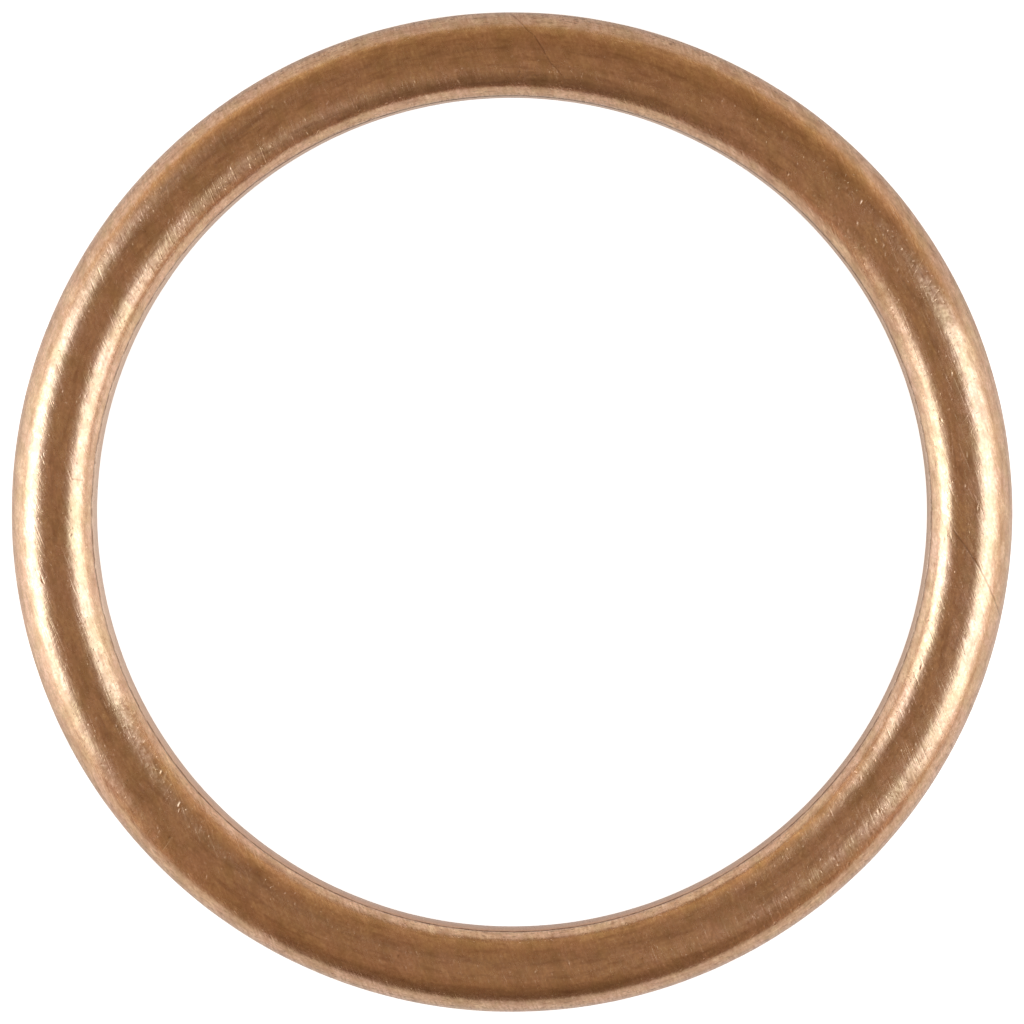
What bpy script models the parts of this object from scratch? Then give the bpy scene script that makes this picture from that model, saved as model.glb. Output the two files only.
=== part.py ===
# Copper exhaust gasket, the crush ring that seals an exhaust pipe's flange in its port.
# One strip of copper sheet is rolled into a hollow ring of round section. The strip's second edge
# steps inwards and is tucked under the first, so the lap seam lies flush on the inside of the ring.
# Metres, +Z up. The ring lies on its lower land, and the origin is on its axis at that land.

from math import asin, cos, pi, radians, sin, tan

import bpy
from mathutils import Vector

mm = 0.001

# The finished ring
outside_diameter = 46.0 * mm
hole_diameter = 38.1 * mm
ring_height = 4.0 * mm
land_width = 0.4 * mm          # the flat on each crown, left by the press that sets the height

# The strip and its lap seam
sheet_thickness = 0.4 * mm
seam_height = 0.7 * mm         # the seam's height above the middle of the ring
seam_gap = 0.05 * mm           # clearance between the two plies of the lap
step_slope = radians(60)       # how steeply the tucked ply steps down under the outer one
lap_length = 1.3 * mm          # how far the tucked ply runs on past the step
bend_radius = 0.08 * mm        # at the head and the foot of the step
edge_radius = 0.04 * mm        # on the strip's two sheared edges

# How finely the curves are divided
steps_around_ring = 64
steps_around_section = 28
steps_per_corner = 1

copper_colour = (0.80, 0.50, 0.33, 1.0)
copper_roughness = 0.28

# The section, which is half an ellipse on each side of its lands
section_half_width = (outside_diameter - hole_diameter) / 4
section_half_height = ring_height / 2
section_middle = Vector(((outside_diameter + hole_diameter) / 4, 0, section_half_height))
shoulder_half_width = section_half_width - land_width / 2
mean_radius = (section_half_width + section_half_height) / 2

# Angles round the section start at the middle of its inner side and grow over the top
top_crown = pi / 2
bottom_crown = 3 * pi / 2
inner_side, outer_side = -1, 1


def sheet_point(angle, depth, side):
    """The point at this depth under the outline, in the XZ plane. The side says which half ellipse
    the point is on, because both meet a land at the same angle."""
    across = -cos(angle)
    up = sin(angle)
    outline = Vector((side * land_width / 2 + across * shoulder_half_width, 0, up * section_half_height))
    normal = Vector((across / shoulder_half_width, 0, up / section_half_height)).normalized()
    return section_middle + outline - depth * normal


def angle_of(length, depth):
    """The angle that a length of sheet takes up at this depth."""
    return length / (mean_radius - depth)


def arc(start, end, depth, side):
    """Points along one face of the sheet, on one side of the lands."""
    steps = max(1, round(abs(end - start) * steps_around_section / (2 * pi)))
    turn = (end - start) / steps
    return [sheet_point(start + turn * step, depth, side) for step in range(steps + 1)]


def full_turn(start, end, depth):
    """Points along one face of the outer ply, from its edge over the top and right round."""
    return (
        arc(start, top_crown, depth, inner_side)
        + arc(top_crown, bottom_crown, depth, outer_side)
        + arc(bottom_crown, end, depth, inner_side)
    )


def strip_faces():
    """The four long faces of the rolled strip, in order round its outline, each with the radius of
    the corner at its start and at its end."""
    ply_step = sheet_thickness + seam_gap
    tucked_depth = ply_step + sheet_thickness
    mitre = sheet_thickness * tan(step_slope / 2)

    # The outer ply ends in a slanted edge that lies along the step
    seam = asin(seam_height / section_half_height)
    edge = seam + angle_of(seam_gap / sin(step_slope), 0)
    edge_inside = edge + angle_of(sheet_thickness / tan(step_slope), sheet_thickness / 2)

    # The step starts at the seam, a full turn on
    head = seam + 2 * pi
    head_inside = head - angle_of(mitre, sheet_thickness)
    foot = head + angle_of(ply_step / tan(step_slope), ply_step / 2)
    foot_inside = foot - angle_of(mitre, tucked_depth)
    tucked_edge = foot + angle_of(lap_length, ply_step)

    outside = full_turn(edge, head, 0)
    inside = full_turn(edge_inside, head_inside, sheet_thickness)
    lap_outside = arc(foot, tucked_edge, ply_step, inner_side)
    lap_inside = arc(foot_inside, tucked_edge, tucked_depth, inner_side)
    return [
        (outside, edge_radius, bend_radius),
        (lap_outside, bend_radius, edge_radius),
        (lap_inside[::-1], edge_radius, bend_radius),
        (inside[::-1], bend_radius, edge_radius),
    ]


def rounded_corner(before, corner, after, radius):
    """The arc that takes the place of a corner, tangent to both of its sides."""
    to_before = (before - corner).normalized()
    to_after = (after - corner).normalized()
    half_angle = to_before.angle(to_after) / 2
    reach = radius / tan(half_angle)
    centre = corner + (to_before + to_after).normalized() * radius / sin(half_angle)
    start = corner + to_before * reach - centre
    end = corner + to_after * reach - centre
    return [
        centre + start.lerp(end, step / steps_per_corner).normalized() * radius
        for step in range(steps_per_corner + 1)
    ]


def strip_profile():
    """The outline of the rolled strip, which at +X runs down its outer side."""
    faces = strip_faces()
    profile = []
    for number, (points, start_radius, end_radius) in enumerate(faces):
        before = faces[number - 1][0][-1]
        after = faces[(number + 1) % len(faces)][0][0]
        profile += rounded_corner(before, points[0], points[1], start_radius)
        profile += points[1:-1]
        profile += rounded_corner(points[-2], points[-1], after, end_radius)
    return profile


def copper():
    """Soft bare copper, brushed bright."""
    material = bpy.data.materials.new("brushed_copper")
    material.use_nodes = True
    material.diffuse_color = copper_colour
    shader = material.node_tree.nodes["Principled BSDF"]
    shader.inputs["Base Color"].default_value = copper_colour
    shader.inputs["Metallic"].default_value = 1.0
    shader.inputs["Roughness"].default_value = copper_roughness
    return material


def gasket_ring():
    """The rolled strip, turned about the ring's axis."""
    profile = strip_profile()
    corners = range(len(profile))
    edges = [(corner, (corner + 1) % len(profile)) for corner in corners]
    mesh = bpy.data.meshes.new("gasket_ring")
    mesh.from_pydata(profile, edges, [])
    ring = bpy.data.objects.new("gasket_ring", mesh)
    mesh.materials.append(copper())

    turn = ring.modifiers.new("turn_about_axis", "SCREW")
    turn.axis = "Z"
    turn.angle = 2 * pi
    turn.screw_offset = 0
    turn.steps = steps_around_ring
    turn.render_steps = steps_around_ring
    turn.use_smooth_shade = True

    # Keeps the lands and the sheared edges looking flat beside the round shoulders
    shading = ring.modifiers.new("flat_lands", "WEIGHTED_NORMAL")
    shading.keep_sharp = True
    return ring


for old in list(bpy.data.objects):
    bpy.data.objects.remove(old)

gasket = bpy.data.collections.new("exhaust_gasket")
bpy.context.scene.collection.children.link(gasket)
gasket.objects.link(gasket_ring())
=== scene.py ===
# Copper exhaust gasket, a hollow crush ring, lying on a white table and photographed from above.
# Metres, +Z up. The ring lies on its lower land, with its axis at the origin.

import random
from math import atan2, cos, exp, hypot, pi, radians, sin, tan

import bmesh
import bpy
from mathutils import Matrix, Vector, geometry, kdtree, noise


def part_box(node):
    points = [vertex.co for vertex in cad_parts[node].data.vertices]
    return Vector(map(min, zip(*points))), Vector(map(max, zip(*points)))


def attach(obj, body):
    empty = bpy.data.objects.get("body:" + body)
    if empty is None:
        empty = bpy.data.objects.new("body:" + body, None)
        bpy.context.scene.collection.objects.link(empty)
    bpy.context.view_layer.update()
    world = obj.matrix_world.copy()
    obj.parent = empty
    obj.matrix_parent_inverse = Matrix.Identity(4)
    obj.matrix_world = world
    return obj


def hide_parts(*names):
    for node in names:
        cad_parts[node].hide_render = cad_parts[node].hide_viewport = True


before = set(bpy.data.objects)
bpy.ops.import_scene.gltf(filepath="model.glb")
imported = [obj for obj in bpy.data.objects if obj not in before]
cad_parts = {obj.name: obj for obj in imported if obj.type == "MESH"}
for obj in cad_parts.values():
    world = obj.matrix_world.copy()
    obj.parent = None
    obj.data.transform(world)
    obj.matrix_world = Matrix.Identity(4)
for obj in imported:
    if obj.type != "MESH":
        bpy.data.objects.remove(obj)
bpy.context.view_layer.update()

mm = 0.001

# The gasket ring.
# One strip of soft copper sheet, rolled into a hollow ring of round section. Its second edge steps
# inwards and is tucked under the first, which leaves one thin seam all round the inner side.

lowest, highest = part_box("gasket_ring")
outside_diameter = highest[0] - lowest[0]
ring_height = highest[2] - lowest[2]
hole_diameter = 38.1 * mm
land_width = 0.4 * mm          # the flat on each crown
sheet_thickness = 0.4 * mm
step_slope = radians(60)       # how steeply the tucked ply steps down under the outer one
lap_length = 1.3 * mm          # how far the tucked ply runs on past the step
bend_radius = 0.02 * mm        # at the head and the foot of the step
lip_radius = 0.01 * mm         # on the strip's two edges

# The seam's height above the middle of the section. It sways up and down twice in a turn, tilts
# down on one side, and wavers a little.
seam_height = 0.86 * mm
seam_sway = 0.064 * mm
seam_tilt = 0.096 * mm
low_side = radians(50)
seam_waver = 0.012 * mm
waver_length = 1.6 * mm

# The plies touch in places and stand apart in others: how open the seam usually is, and how much
# short and long stretches of it differ, each with its length and its own layer of the noise
tightest_gap = 0.004 * mm
widest_gap = 0.018 * mm
usual_opening = 0.5
gap_stretches = ((0.9, 0.9 * mm, 7), (0.5, 5 * mm, 19))

# How finely the curves are divided
steps_around_ring = 480
steps_around_section = 64
steps_inside = 14
steps_along_lap = 3
steps_per_corner = 2

# The section is half an ellipse on each side of its lands
middle_radius = (outside_diameter + hole_diameter) / 4
half_width = (outside_diameter - hole_diameter) / 4
half_height = ring_height / 2
shoulder = half_width - land_width / 2
mean_radius = (half_width + half_height) / 2
quarter = mean_radius * pi / 2
girth = 4 * quarter + 2 * land_width


def sheet_point(travel, depth):
    """A point in the XZ plane, this deep in the sheet. Travel is measured round the outline, from
    the middle of the inner side and over the top."""
    travel = travel % girth
    on_top_land = min(max(travel - quarter, 0), land_width)
    on_bottom_land = min(max(travel - land_width - 3 * quarter, 0), land_width)
    angle = (travel - on_top_land - on_bottom_land) / mean_radius
    across = on_top_land - on_bottom_land - land_width / 2 - cos(angle) * shoulder
    up = half_height * (1 + sin(angle))
    normal = Vector((-cos(angle) / shoulder, 0, sin(angle) / half_height)).normalized()
    return Vector((middle_radius + across, 0, up)) - depth * normal


def travel_of(length, depth):
    """The travel that a length of sheet takes up at this depth."""
    return length * mean_radius / (mean_radius - depth)


def stretch(start, end, depth, steps):
    """Points along one face of the sheet, each with its travel."""
    travels = [start + (end - start) * step / steps for step in range(steps + 1)]
    return [(sheet_point(travel, depth), travel) for travel in travels]


def rounded_corner(before, corner, after, radius):
    """The arc that takes the place of a corner, tangent to both of its sides."""
    to_before = (before - corner).normalized()
    to_after = (after - corner).normalized()
    half_angle = to_before.angle(to_after) / 2
    reach = radius / tan(half_angle)
    centre = corner + (to_before + to_after).normalized() * radius / sin(half_angle)
    start = corner + to_before * reach - centre
    end = corner + to_after * reach - centre
    return [
        centre + start.lerp(end, step / steps_per_corner).normalized() * radius
        for step in range(steps_per_corner + 1)
    ]


def strip_profile(seam, gap):
    """The outline of the rolled strip. Each point has its travel, and says whether it lies on the
    open outer face. Points inside the lap have the travel of its head."""
    ply_step = sheet_thickness + gap
    tucked_depth = ply_step + sheet_thickness
    mitre = sheet_thickness * tan(step_slope / 2)
    edge = seam + travel_of(gap / sin(step_slope), 0)
    edge_inside = edge + travel_of(sheet_thickness / tan(step_slope), sheet_thickness / 2)
    head = seam + girth
    head_inside = head - travel_of(mitre, sheet_thickness)
    foot = head + travel_of(ply_step / tan(step_slope), ply_step / 2)
    foot_inside = foot - travel_of(mitre, tucked_depth)
    tucked_edge = foot + travel_of(lap_length, ply_step)
    outside = stretch(edge, head, 0, steps_around_section)
    lap_outside = stretch(foot, tucked_edge, ply_step, steps_along_lap)
    lap_inside = stretch(tucked_edge, foot_inside, tucked_depth, steps_along_lap)
    inside = stretch(head_inside, edge_inside, sheet_thickness, steps_inside)
    faces = [
        (outside, lip_radius, bend_radius),
        (lap_outside, bend_radius, lip_radius),
        (lap_inside, lip_radius, bend_radius),
        (inside, bend_radius, lip_radius),
    ]
    profile = []
    for number, (points, start_radius, end_radius) in enumerate(faces):
        is_outer = number == 0
        travels = [travel if is_outer else head for point, travel in points]
        before = faces[number - 1][0][-1][0]
        after = faces[(number + 1) % len(faces)][0][0][0]
        corner = rounded_corner(before, points[0][0], points[1][0], start_radius)
        profile += [(point, seam if is_outer else head, False) for point in corner]
        for (point, _), travel in zip(points[1:-1], travels[1:-1]):
            profile.append((point, travel, is_outer))
        corner = rounded_corner(points[-2][0], points[-1][0], after, end_radius)
        profile += [(point, travels[-1], False) for point in corner]
    return profile


def seam_at(azimuth):
    """How far up the inner side the seam lies, and how wide its gap is."""
    around = Vector((cos(azimuth), sin(azimuth), 0)) * middle_radius
    height = seam_height + seam_sway * cos(2 * azimuth) - seam_tilt * cos(azimuth - low_side)
    height += seam_waver * noise.noise(around / waver_length)
    opening = usual_opening
    for amount, length, layer in gap_stretches:
        opening += amount * noise.noise(around / length + Vector((0, 0, layer)))
    gap = tightest_gap + (widest_gap - tightest_gap) * min(max(opening, 0), 1)
    return height, gap


def turned(point, azimuth):
    """A point of the XZ plane, turned about the ring's axis."""
    return Vector((point.x * cos(azimuth), point.x * sin(azimuth), point.z))


def rolled_surface():
    """The ring's surface. Each point carries its travel, whether it lies on the open outer face, and
    how far it lies from the seam, round the section."""
    mesh = bmesh.new()
    travel_layer = mesh.verts.layers.float.new("travel")
    outline_layer = mesh.verts.layers.float.new("on_outline")
    seam_layer = mesh.verts.layers.float.new("from_seam")
    rings = []
    for step in range(steps_around_ring):
        azimuth = 2 * pi * step / steps_around_ring
        seam, gap = seam_at(azimuth)
        ring = []
        for point, travel, on_outline in strip_profile(seam, gap):
            vert = mesh.verts.new(turned(point, azimuth))
            vert[travel_layer] = travel
            vert[outline_layer] = on_outline
            vert[seam_layer] = travel - seam
            ring.append(vert)
        rings.append(ring)
    for ring, following in zip(rings, rings[1:] + rings[:1]):
        for place in range(len(ring)):
            ahead = (place + 1) % len(ring)
            mesh.faces.new((ring[place], following[place], following[ahead], ring[ahead]))
    return mesh


# Marks from handling, each a path over the upper side with its half breadth, its depth and how much
# dirt it holds

def upper_side(x, y):
    """The point of the upper side over this place in plan."""
    beyond_land = max(abs(hypot(x, y) - middle_radius) - land_width / 2, 0)
    rise = half_height * (1 - (beyond_land / shoulder) ** 2) ** 0.5
    return Vector((x, y, half_height + rise))


def over_ring(bends):
    """A path through these bends, given as azimuth in degrees and mm out from the section's middle."""
    path = []
    steps = 8
    for (azimuth, across), (next_azimuth, next_across) in zip(bends, bends[1:]):
        for step in range(steps + 1):
            share = step / steps
            angle = radians(azimuth + (next_azimuth - azimuth) * share)
            reach = middle_radius + (across + (next_across - across) * share) * mm
            path.append(upper_side(reach * cos(angle), reach * sin(angle)))
    return path


# The long ones: the bends, the half breadth and the depth in mm, and the dirt. The first runs right
# across the crown, the next three are one broken scratch, and the last is clean and bright.
long_marks = [
    ([(-2.0, -0.78), (-5.5, 0.24), (-8.8, 1.16), (-11.8, 1.87)], 0.025, 0.010, 0.8),
    ([(90.2, 1.91), (89.2, 1.61), (88.2, 1.19), (87.5, 1.00)], 0.022, 0.007, 0.7),
    ([(87.3, 0.93), (86.8, 0.65), (86.2, 0.36), (85.9, 0.16)], 0.028, 0.009, 0.7),
    ([(85.7, 0.06), (85.2, -0.23), (84.8, -0.35), (84.3, -0.48), (83.6, -0.77)], 0.024, 0.008, 0.6),
    ([(175.3, -0.77), (175.4, -1.30)], 0.022, 0.008, 0.7),
    ([(17.2, -0.35), (12.5, -0.51), (7.9, -0.69)], 0.025, 0.007, 0.0),
]
marks = [
    (over_ring(bends), half_breadth * mm, depth * mm, dirt)
    for bends, half_breadth, depth, dirt in long_marks
]

# Bright nicks lie in clusters: the first and the last azimuth in degrees, the inner and the outer
# edge in mm out from the section's middle, and how many there are
nick_clusters = [
    (78, 106, -1.08, 0.16, 24),
    (32, 47, -0.35, 0.65, 10),
    (-9, 8, -0.77, 0.46, 8),
    (-49, -36, -0.15, 1.33, 12),
    (-105, -76, -0.56, 0.46, 8),
    (216, 236, -1.08, 0.75, 8),
    (176, 183, -0.15, 0.46, 5),
    (128, 150, -0.46, 0.06, 22),
    (0, 360, -1.08, 1.52, 40),
]
nick_lean = (60, 125)                  # degrees from +X
nick_half_length = (0.02, 0.09)        # mm
nick_half_breadth = (0.024, 0.036)     # mm
nick_depth_share = (0.3, 0.6)          # of its half breadth

chance = random.Random(7)
for first, last, inner, outer, count in nick_clusters:
    for number in range(count):
        azimuth = radians(chance.uniform(first, last))
        reach = middle_radius + chance.uniform(inner, outer) * mm
        lean = radians(chance.uniform(*nick_lean))
        half_length = chance.uniform(*nick_half_length) * mm
        half_breadth = chance.uniform(*nick_half_breadth) * mm
        depth = half_breadth * chance.uniform(*nick_depth_share)
        path = [
            upper_side(reach * cos(azimuth) + way * cos(lean), reach * sin(azimuth) + way * sin(lean))
            for way in (-half_length, 0, half_length)
        ]
        marks.append((path, half_breadth, depth, 0.0))

# Small dark pits lie anywhere on the upper side
pit_count = 20
pit_across = (-1.5, 1.6)               # mm out from the section's middle
pit_length = (0.01, 0.06)              # mm, along X and along Y
pit_half_breadth = (0.025, 0.04)       # mm
pit_depth_share = 1 / 3                # of its half breadth
pit_dirt = 0.7

for number in range(pit_count):
    azimuth = chance.uniform(0, 2 * pi)
    reach = middle_radius + chance.uniform(*pit_across) * mm
    place = upper_side(reach * cos(azimuth), reach * sin(azimuth))
    length = chance.uniform(*pit_length) * mm
    half_breadth = chance.uniform(*pit_half_breadth) * mm
    path = [place, place + Vector((length, length, 0))]
    marks.append((path, half_breadth, half_breadth * pit_depth_share, pit_dirt))

# Faces near a mark are divided further. How near is counted in faces, to reach past half a face's
# diagonal, and in half breadths of the mark. A dent fades to nothing in so many half breadths.
finer_cuts = 6
face_reach = 0.7
mark_reach = 2
dent_reach = 4


def divide_near_marks(mesh):
    """Divides the outer faces round each mark, and sets all the points of the outer face back on the
    outline."""
    travel_layer = mesh.verts.layers.float["travel"]
    outline_layer = mesh.verts.layers.float["on_outline"]
    outer_faces = [face for face in mesh.faces if all(vert[outline_layer] for vert in face.verts)]
    finder = kdtree.KDTree(len(outer_faces))
    for number, face in enumerate(outer_faces):
        finder.insert(face.calc_center_median(), number)
    finder.balance()
    cell = girth / steps_around_section
    near_marks = set()
    for path, half_breadth, depth, dirt in marks:
        reach = cell * face_reach + half_breadth * mark_reach
        for start, end in zip(path, path[1:]):
            pieces = max(1, round((end - start).length / cell))
            for piece in range(pieces + 1):
                place = start.lerp(end, piece / pieces)
                near_marks.update(found[1] for found in finder.find_range(place, reach))
    edges = {edge for number in near_marks for edge in outer_faces[number].edges}
    bmesh.ops.subdivide_edges(mesh, edges=list(edges), cuts=finer_cuts, use_grid_fill=True)

    # A new point is on the outline where all the points that it was made from are
    fully = 0.99
    for vert in mesh.verts:
        if vert[outline_layer] > fully:
            vert.co = turned(sheet_point(vert[travel_layer], 0), atan2(vert.co.y, vert.co.x))


# Rolling leaves the whole surface a little sunken, with wide and small waves in it
usual_dip = 0.007 * mm
surface_waves = ((0.007 * mm, 3.5 * mm), (0.004 * mm, 1.3 * mm))


def section_centre(point):
    """The middle of the section that a point lies in."""
    reach = hypot(point.x, point.y)
    return Vector((point.x, point.y, 0)) * middle_radius / reach + Vector((0, 0, half_height))


def press_surface(mesh):
    """Presses the marks and the waves into the surface, which carries the dirt in the marks."""
    dirt_layer = mesh.verts.layers.float.new("dirt")
    mesh.verts.ensure_lookup_table()
    finder = kdtree.KDTree(len(mesh.verts))
    for number, vert in enumerate(mesh.verts):
        finder.insert(vert.co, number)
    finder.balance()
    dents = {}
    for path, half_breadth, depth, dirt in marks:
        for start, end in zip(path, path[1:]):
            reach = (end - start).length / 2 + dent_reach * half_breadth
            for place, number, distance in finder.find_range((start + end) / 2, reach):
                share = geometry.intersect_point_line(place, start, end)[1]
                foot = start.lerp(end, min(max(share, 0), 1))
                closeness = exp(-((place - foot).length / half_breadth) ** 2)
                dents[number] = max(dents.get(number, 0), depth * closeness)
                vert = mesh.verts[number]
                vert[dirt_layer] = max(vert[dirt_layer], dirt * closeness)
    for number, vert in enumerate(mesh.verts):
        point = vert.co.copy()
        dip = usual_dip
        for height, length in surface_waves:
            dip += height * noise.noise(point / length)
        inwards = (section_centre(point) - point).normalized()
        vert.co = point + inwards * (max(dip, 0) + dents.get(number, 0))


def srgb(code):
    """A hex colour as linear values."""
    levels = [int(code[place:place + 2], 16) / 255 for place in (1, 3, 5)]
    linear = [
        level / 12.92 if level <= 0.04045 else ((level + 0.055) / 1.055) ** 2.4
        for level in levels
    ]
    return linear + [1]


def add_node(tree, kind, inputs=None, **settings):
    """Adds a node with its settings, and sets or links its inputs."""
    node = tree.nodes.new(kind)
    for name, value in settings.items():
        setattr(node, name, value)
    for socket, value in (inputs or {}).items():
        if isinstance(value, bpy.types.NodeSocket):
            tree.links.new(value, node.inputs[socket])
        else:
            node.inputs[socket].default_value = value
    return node


# The sockets by which a node blends one colour over another
blend_share, under, over, blended = 0, 6, 7, 2

brush_direction = radians(-68)
across_brush = brush_direction + radians(90)


def copper_patterns(tree, in_space, along_ring):
    """The patterns of the metal's finish. Each has how it lies, its size in mm, its turn, its finer
    steps, and the noise values that are its least and its most. The finest are drawn a little
    coarser than they are, so that they show."""
    noise_roughness = 0.6
    patterns = {
        "hair": (in_space, (0.9, 0.08, 0.45), brush_direction, 2, 0, 1),
        "long_hair": (in_space, (2.0, 0.10, 1.0), brush_direction, 1, 0.58, 0.72),
        "crossing": (in_space, (1.2, 0.10, 0.8), brush_direction + radians(125), 1, 0.64, 0.76),
        "streaks": (in_space, (1.1, 0.09, 0.6), brush_direction, 2, 0.35, 0.68),
        "strokes": (in_space, (1.3, 0.10, 0.7), brush_direction, 2, 0.48, 0.62),
        "grain": (in_space, (0.17, 0.13, 0.17), brush_direction, 2, 0.32, 0.68),
        "pecks": (in_space, (0.16, 0.12, 0.16), brush_direction, 0, 0.72, 0.84),
        "ripple": (in_space, (0.7, 0.4, 0.7), brush_direction, 2, 0, 1),
        "mottle": (in_space, (0.7, 0.4, 0.7), brush_direction, 5, 0.34, 0.68),
        "blotches": (in_space, (1.1, 0.8, 1.1), brush_direction, 3, 0.48, 0.66),
        "patches": (in_space, (2.0, 1.4, 2.0), brush_direction, 5, 0.38, 0.62),
        "lines": (along_ring, (3, 3, 0.09), 0, 3, 0.35, 0.75),
        "dashes": (along_ring, (0.26, 0.26, 0.085), 0, 1, 0.58, 0.70),
        "smudges": (along_ring, (1.5, 1.5, 0.32), 0, 4, 0.50, 0.68),
        "gaps": (along_ring, (0.5, 0.5, 0.5), 0, 2, 0.38, 0.58),
    }
    pattern = {}
    for name, (lay, size, turn, detail, least, most) in patterns.items():
        sized = add_node(tree, "ShaderNodeMapping", {
            "Vector": lay, "Rotation": (0, 0, turn), "Scale": [side * mm for side in size],
        }, vector_type="TEXTURE")
        noisy = add_node(tree, "ShaderNodeTexNoise", {
            "Vector": sized.outputs["Vector"], "Scale": 1.0, "Detail": detail,
            "Roughness": noise_roughness,
        })
        spread = add_node(tree, "ShaderNodeMapRange", {
            "Value": noisy.outputs["Fac"], "From Min": least, "From Max": most,
        })
        pattern[name] = spread.outputs["Result"]
    return pattern


def copper_places(tree, pattern, in_space, from_seam):
    """Where the tarnish, the dirt, the painted reflection and the painted shade lie. Each place has the
    measure that it goes by, the values of it where the place starts and ends, and its share at both."""
    past_lap = add_node(tree, "ShaderNodeMath", {0: girth, 1: from_seam}, operation="SUBTRACT")
    off_seam = add_node(
        tree, "ShaderNodeMath", {0: past_lap.outputs[0], 1: from_seam}, operation="MINIMUM")
    axes = add_node(tree, "ShaderNodeSeparateXYZ", {"Vector": in_space}).outputs
    far_or_near = add_node(tree, "ShaderNodeMath", {0: axes["Y"]}, operation="ABSOLUTE")
    places = {
        # The tucked strip below the seam: painted paler, a painted reflection of the table
        "tucked": (from_seam, girth - 1.5 * mm, girth - 0.8 * mm, 0, 1),
        # Along the seam, in patches: painted shade of its crevice
        "seam_crevice_shade": (off_seam.outputs[0], 0.065 * mm, 0.025 * mm, 0, 1),
        "seam_shade_patches": (pattern["gaps"], 0, 1, 0.1, 0.85),
        "off_crown": (axes["Z"], 3.6 * mm, 2.9 * mm, 0, 1),
        "handled": (far_or_near.outputs[0], 5 * mm, 20 * mm, 0.3, 0.95),
        # Paler towards the far side, darker towards the near side: painted shade on the tucked strip
        "far_lap_painted_paler": (axes["Y"], -19 * mm, -4 * mm, 0.1, 1),
    }
    place = {}
    for name, (measure, start, end, first, last) in places.items():
        mapped = add_node(tree, "ShaderNodeMapRange", {
            "Value": measure, "From Min": start, "From Max": end, "To Min": first, "To Max": last,
        })
        place[name] = mapped.outputs["Result"]
    return place


def copper_colour(tree, pattern, place):
    """The colour of the metal, as coats over each other, from the clean gold up to the dirt. The tucked
    strip carries a painted reflection and painted shade, and the seam a painted shade.
    """
    gold = srgb("#FADEB6")
    pink = srgb("#FAD7BE")
    dull = srgb("#C29676")
    olive = srgb("#B89A72")
    umber = srgb("#A0765C")
    tarnish = srgb("#85604A")
    painted_reflection_on_lap = srgb("#D8BEAA")
    painted_shade_on_lap = srgb("#B8917A")
    soot_and_seam_shade = srgb("#866249")
    scratch_dirt = add_node(tree, "ShaderNodeAttribute", attribute_name="dirt").outputs["Fac"]
    # Painted light on the tucked strip: paler as a painted reflection, darker to the near side as a
    # painted shade
    lap_painted_light = add_node(tree, "ShaderNodeMix", {
        blend_share: place["far_lap_painted_paler"], under: painted_shade_on_lap, over: painted_reflection_on_lap,
    }, data_type="RGBA").outputs[blended]

    # Each coat lies where all of its shares do, and covers up to this much
    coats = (
        ((pattern["patches"],), 1.0, pink),
        ((pattern["mottle"],), 0.52, dull),
        ((pattern["grain"],), 0.60, dull),
        ((pattern["streaks"],), 0.30, dull),
        ((pattern["lines"],), 0.35, dull),
        ((pattern["strokes"], place["off_crown"], place["handled"]), 1.0, dull),
        ((pattern["blotches"],), 0.45, olive),
        ((pattern["smudges"],), 0.45, umber),
        ((pattern["dashes"], place["off_crown"], place["handled"]), 1.0, tarnish),
        # Painted reflection and painted shade on the tucked strip
        ((place["tucked"],), 0.8, lap_painted_light),
        # Painted shade of the seam's crevice, in patches; then the dirt in the scratches and pits
        ((place["seam_crevice_shade"], place["seam_shade_patches"]), 1.0, soot_and_seam_shade),
        ((scratch_dirt,), 1.0, soot_and_seam_shade),
    )
    colour = gold
    for shares, amount, coat in coats:
        for share in shares:
            amount = add_node(
                tree, "ShaderNodeMath", {0: share, 1: amount}, operation="MULTIPLY").outputs[0]
        colour = add_node(tree, "ShaderNodeMix", {
            blend_share: amount, under: colour, over: coat,
        }, data_type="RGBA").outputs[blended]
    return colour


def copper_relief(tree, pattern):
    """The bumps of the finish, laid on each other. The brush marks are cut in, and the ripple is from
    the rolling."""
    heights_in_mm = {
        "grain": 0.0008,
        "ripple": 0.018,
        "hair": 0.0043,
        "long_hair": -0.003,
        "crossing": -0.002,
        "pecks": -0.006,
    }
    normal = None
    for name, height in heights_in_mm.items():
        bump = add_node(tree, "ShaderNodeBump", {"Distance": height * mm, "Height": pattern[name]})
        if normal:
            tree.links.new(normal, bump.inputs["Normal"])
        normal = bump.outputs["Normal"]
    return normal


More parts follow.
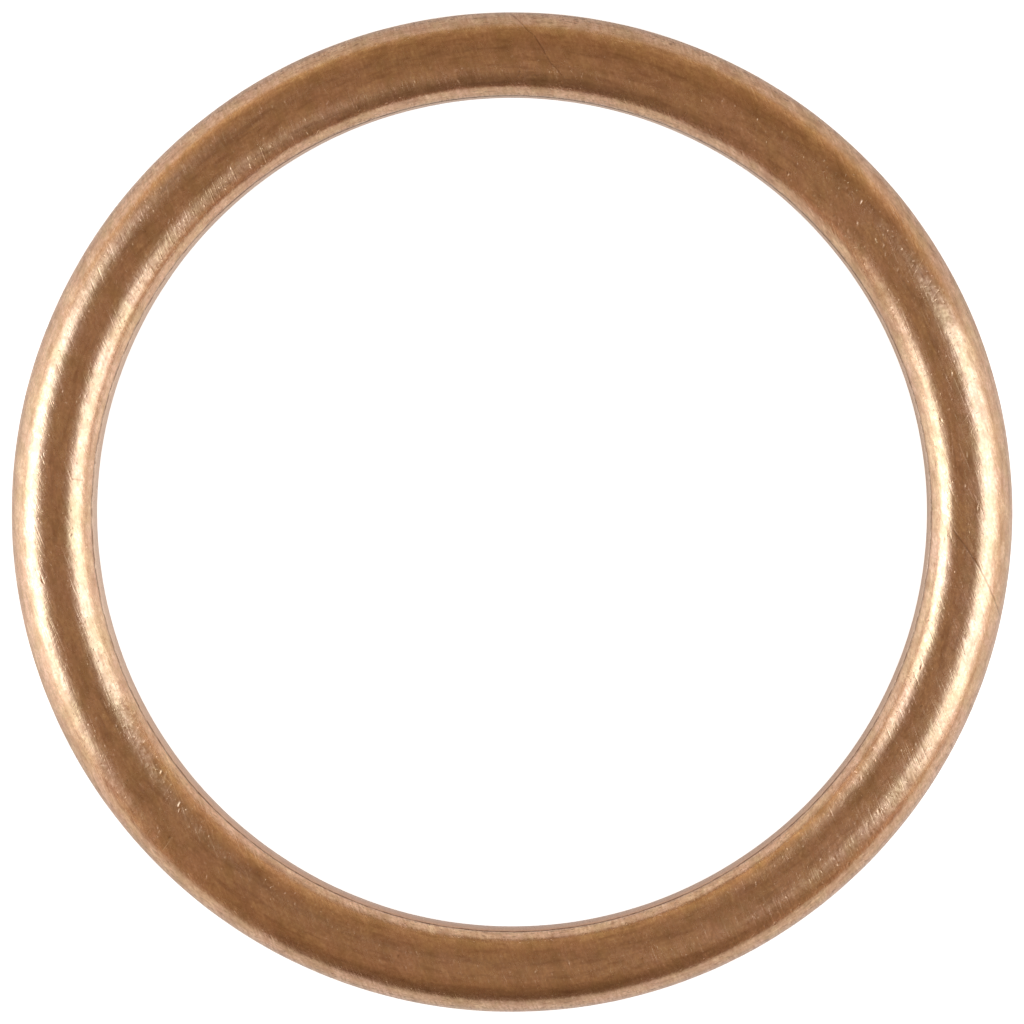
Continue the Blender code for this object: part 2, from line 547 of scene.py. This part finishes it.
def brushed_copper():
    """Bare copper, brushed all one way. The eye sees soft gold highlights with ragged, hair-like
    edges, and a brown sheen between them, mottled olive and pink, with fine grain."""
    material = bpy.data.materials.new("brushed_copper")
    material.use_nodes = True
    tree = material.node_tree
    shader = tree.nodes["Principled BSDF"]
    shader.inputs["Metallic"].default_value = 1.0
    shader.inputs["Anisotropic"].default_value = 0.7
    tangent = add_node(tree, "ShaderNodeCombineXYZ", {"X": cos(across_brush), "Y": sin(across_brush)})
    tree.links.new(tangent.outputs["Vector"], shader.inputs["Tangent"])

    # A pattern lies on the ring as it stands in space, or along the ring and round its section
    in_space = add_node(tree, "ShaderNodeTexCoord").outputs["Object"]
    from_seam = add_node(tree, "ShaderNodeAttribute", attribute_name="from_seam").outputs["Fac"]
    flat = add_node(tree, "ShaderNodeVectorMath", {0: in_space, 1: (1, 1, 0)}, operation="MULTIPLY")
    outwards = add_node(tree, "ShaderNodeVectorMath", {0: flat.outputs[0]}, operation="NORMALIZE")
    around = add_node(tree, "ShaderNodeCombineXYZ", {"Z": from_seam})
    along_ring = add_node(tree, "ShaderNodeVectorMath", {
        0: outwards.outputs[0], 1: [middle_radius] * 3, 2: around.outputs[0],
    }, operation="MULTIPLY_ADD").outputs[0]

    pattern = copper_patterns(tree, in_space, along_ring)
    place = copper_places(tree, pattern, in_space, from_seam)
    roughness = add_node(tree, "ShaderNodeMapRange", {
        "Value": pattern["mottle"], "To Min": 0.24, "To Max": 0.29,
    })
    tree.links.new(copper_colour(tree, pattern, place), shader.inputs["Base Color"])
    tree.links.new(roughness.outputs["Result"], shader.inputs["Roughness"])
    tree.links.new(copper_relief(tree, pattern), shader.inputs["Normal"])
    return material


ring_surface = rolled_surface()
divide_near_marks(ring_surface)
press_surface(ring_surface)
ring_mesh = bpy.data.meshes.new("rolled_ring")
ring_surface.to_mesh(ring_mesh)
ring_surface.free()
ring_mesh.shade_smooth()
ring_mesh.materials.append(brushed_copper())
rolled_ring = bpy.data.objects.new("rolled_ring", ring_mesh)
bpy.context.scene.collection.objects.link(rolled_ring)
flat_lands = rolled_ring.modifiers.new("flat_lands", "WEIGHTED_NORMAL")
flat_lands.keep_sharp = True
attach(rolled_ring, "root")
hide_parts("gasket_ring")

# The table.
# A wide sheet of white paper that the ring lies on.

table_size = 2000 * mm
table_mesh = bpy.data.meshes.new("table")
table_surface = bmesh.new()
bmesh.ops.create_grid(table_surface, x_segments=8, y_segments=8, size=table_size / 2)
table_surface.to_mesh(table_mesh)
table_surface.free()
white_table = bpy.data.objects.new("white_table", table_mesh)
bpy.context.scene.collection.objects.link(white_table)


def paper_with_painted_glow():
    """Smooth white paper, which the eye sees as an even white ground. The ring mirrors it with a painted
    glow added, a painted reflection, dimmer: with painted shadow beside the metal, least on the middle
    line and far to the near side, and more to the lower left."""
    material = bpy.data.materials.new("paper_with_painted_glow")
    material.use_nodes = True
    tree = material.node_tree
    shader = tree.nodes["Principled BSDF"]
    shader.inputs["Base Color"].default_value = srgb("#E8E8E8")
    shader.inputs["Roughness"].default_value = 0.3
    shader.inputs["Emission Color"].default_value = srgb("#FFFFFF")

    # What the painted glow that the ring mirrors goes by, the values of it where it starts and ends to
    # change, and its share at both
    in_space = add_node(tree, "ShaderNodeTexCoord").outputs["Object"]
    axes = add_node(tree, "ShaderNodeSeparateXYZ", {"Vector": in_space}).outputs
    sideways = add_node(tree, "ShaderNodeMath", {0: axes["X"]}, operation="ABSOLUTE")
    off_axis = add_node(tree, "ShaderNodeVectorMath", {0: in_space}, operation="LENGTH")
    lower_left = Vector((-0.79, -0.61, 0))
    towards_lower_left = add_node(
        tree, "ShaderNodeVectorMath", {0: in_space, 1: lower_left}, operation="DOT_PRODUCT")
    shares = (
        (sideways.outputs[0], 0, 23 * mm, 0.30, 0.45),
        (axes["Y"], -85 * mm, -30 * mm, 0.2, 1),
        (off_axis.outputs["Value"], 17 * mm, 25 * mm, 1.2, 0.8),
        (towards_lower_left.outputs["Value"], -15.8 * mm, 15.8 * mm, 0.82, 1.18),
    )
    # The glow fades beside the metal: a painted shadow
    painted_shadow_reach = 5 * mm
    painted_glow = add_node(
        tree, "ShaderNodeAmbientOcclusion", {"Distance": painted_shadow_reach}, samples=8).outputs["AO"]
    for measure, start, end, first, last in shares:
        share = add_node(tree, "ShaderNodeMapRange", {
            "Value": measure, "From Min": start, "From Max": end, "To Min": first, "To Max": last,
        })
        painted_glow = add_node(tree, "ShaderNodeMath", {
            0: painted_glow, 1: share.outputs["Result"],
        }, operation="MULTIPLY").outputs[0]

    # The camera sees white, whatever light falls on the paper
    white = 0.85
    path = add_node(tree, "ShaderNodeLightPath").outputs
    seen = add_node(tree, "ShaderNodeMath", {0: path["Is Camera Ray"], 1: white}, operation="MULTIPLY")
    # Glossy rays see the painted glow added to the lit paper: a painted reflection
    glow = add_node(tree, "ShaderNodeMath", {
        0: path["Is Glossy Ray"], 1: painted_glow, 2: seen.outputs[0],
    }, operation="MULTIPLY_ADD")
    tree.links.new(glow.outputs[0], shader.inputs["Emission Strength"])
    return material


table_mesh.materials.append(paper_with_painted_glow())

# The light.
# Two panels of cool daylight stand on the table, left and right of the ring, in a dim, warm room.

daylight = "#D9EFFF"


def soft_panel(name, side, distance, along, breadth, height, even_along, even_up, level):
    """A lamp behind a diffuser that stands on the table, brightest in its middle. It is lit to the
    full on an even share of its breadth and of its height, round its middle. The level is how
    bright it looks there, whatever its size."""
    lamp = bpy.data.lights.new(name, "AREA")
    lamp.shape = "RECTANGLE"
    lamp.size = breadth
    lamp.size_y = height
    lamp.energy = level * pi * breadth * height
    lamp.color = srgb(daylight)[:3]
    lamp.use_nodes = True
    tree = lamp.node_tree
    spot = add_node(tree, "ShaderNodeNewGeometry").outputs["Parametric"]
    off_middle = add_node(tree, "ShaderNodeVectorMath", {0: spot, 1: (0.5, 0.5, 0)}, operation="SUBTRACT")
    off_middle = add_node(
        tree, "ShaderNodeVectorMath", {0: off_middle.outputs[0]}, operation="ABSOLUTE")
    axes = add_node(tree, "ShaderNodeSeparateXYZ", {"Vector": off_middle.outputs[0]}).outputs
    strength = 1.0
    for measure, even_share in ((axes["X"], even_along), (axes["Y"], even_up)):
        fall = add_node(tree, "ShaderNodeMapRange", {
            "Value": measure, "From Min": 0.5, "From Max": even_share / 2,
        }, interpolation_type="SMOOTHSTEP")
        strength = add_node(tree, "ShaderNodeMath", {
            0: strength, 1: fall.outputs["Result"],
        }, operation="MULTIPLY").outputs[0]
    tree.links.new(strength, tree.nodes["Emission"].inputs["Strength"])
    panel = bpy.data.objects.new(name, lamp)
    panel.location = (side * distance, along, height / 2)
    panel.rotation_euler = Vector((-side, 0, 0)).to_track_quat("-Z", "Y").to_euler()
    bpy.context.scene.collection.objects.link(panel)


soft_panel(
    "left_panel", side=-1, distance=95 * mm, along=-4 * mm, breadth=160 * mm, height=90 * mm,
    even_along=0.05, even_up=0.45, level=4.32)
soft_panel(
    "right_panel", side=1, distance=75 * mm, along=-11 * mm, breadth=100 * mm, height=134 * mm,
    even_along=0.66, even_up=0.50, level=2.76)


def dim_room():
    """The room above and behind the camera, as the ring's crown reflects it, in bands from its near
    side to its far side. The camera itself sees white behind the table."""
    overhead = srgb("#A38464")
    near_side = srgb("#B59178")
    far_side = srgb("#C8B18B")
    world = bpy.data.worlds.new("dim_room")
    world.use_nodes = True
    tree = world.node_tree
    direction = add_node(tree, "ShaderNodeTexCoord").outputs["Generated"]
    axes = add_node(tree, "ShaderNodeSeparateXYZ", {"Vector": direction}).outputs
    near_to_far = add_node(
        tree, "ShaderNodeMapRange", {"Value": axes["Y"], "From Min": -1, "From Max": 1}).outputs[0]

    # The walls are brighter towards the left and the right
    walls = add_node(tree, "ShaderNodeMix", {
        blend_share: near_to_far, under: near_side, over: far_side,
    }, data_type="RGBA").outputs[blended]
    sideways = add_node(tree, "ShaderNodeMath", {0: axes["X"]}, operation="ABSOLUTE")
    corners = add_node(tree, "ShaderNodeMapRange", {
        "Value": sideways.outputs[0], "From Min": 0.25, "From Max": 0.65, "To Min": 1, "To Max": 1.75,
    })
    walls = add_node(tree, "ShaderNodeVectorMath", {
        0: walls, "Scale": corners.outputs["Result"],
    }, operation="SCALE").outputs[0]

    # The walls come in low down, and the higher this power, the lower
    steepness = 2.6
    lowness = add_node(
        tree, "ShaderNodeMath", {0: 1.0, 1: axes["Z"]}, operation="SUBTRACT", use_clamp=True)
    lowness = add_node(tree, "ShaderNodeMath", {0: lowness.outputs[0], 1: steepness}, operation="POWER")
    room = add_node(tree, "ShaderNodeMix", {
        blend_share: lowness.outputs[0], under: overhead, over: walls,
    }, data_type="RGBA").outputs[blended]

    # Where each band is, from near to far, and how bright it is
    bands = (
        (0.03, 0.44), (0.155, 0.86), (0.32, 1.25), (0.5, 1.02), (0.6, 0.80), (0.75, 0.95), (0.95, 1.0),
    )
    banding = add_node(tree, "ShaderNodeValToRGB", {0: near_to_far})
    ramp = banding.color_ramp
    ramp.interpolation = "B_SPLINE"
    for place, shade in bands:
        stop = ramp.elements.new(place)
        stop.color = (shade, shade, shade, 1)
    ramp.elements.remove(ramp.elements[0])
    ramp.elements.remove(ramp.elements[-1])
    room = add_node(
        tree, "ShaderNodeVectorMath", {0: room, 1: banding.outputs["Color"]}, operation="MULTIPLY")
    path = add_node(tree, "ShaderNodeLightPath").outputs
    seen = add_node(tree, "ShaderNodeMix", {
        blend_share: path["Is Camera Ray"], under: room.outputs[0], over: srgb("#FFFFFF"),
    }, data_type="RGBA").outputs[blended]
    tree.links.new(seen, tree.nodes["Background"].inputs["Color"])
    return world


bpy.context.scene.world = dim_room()

# The camera.
# It looks almost straight down through a long lens, from just beyond the ring's far side.

camera_reach = 600 * mm
camera_lean = radians(3)
centring = 0.045 * mm
aim = Vector((0, centring, half_height))
lens = bpy.data.cameras.new("camera")
lens.sensor_width = 36
lens.lens = 459.1
lens.clip_start = 10 * mm
camera = bpy.data.objects.new("camera", lens)
camera.location = aim + Vector((0, sin(camera_lean), cos(camera_lean))) * camera_reach
camera.rotation_euler = (-camera_lean, 0, 0)
bpy.context.scene.collection.objects.link(camera)
bpy.context.scene.camera = camera

bpy.context.scene.view_settings.view_transform = "Standard"
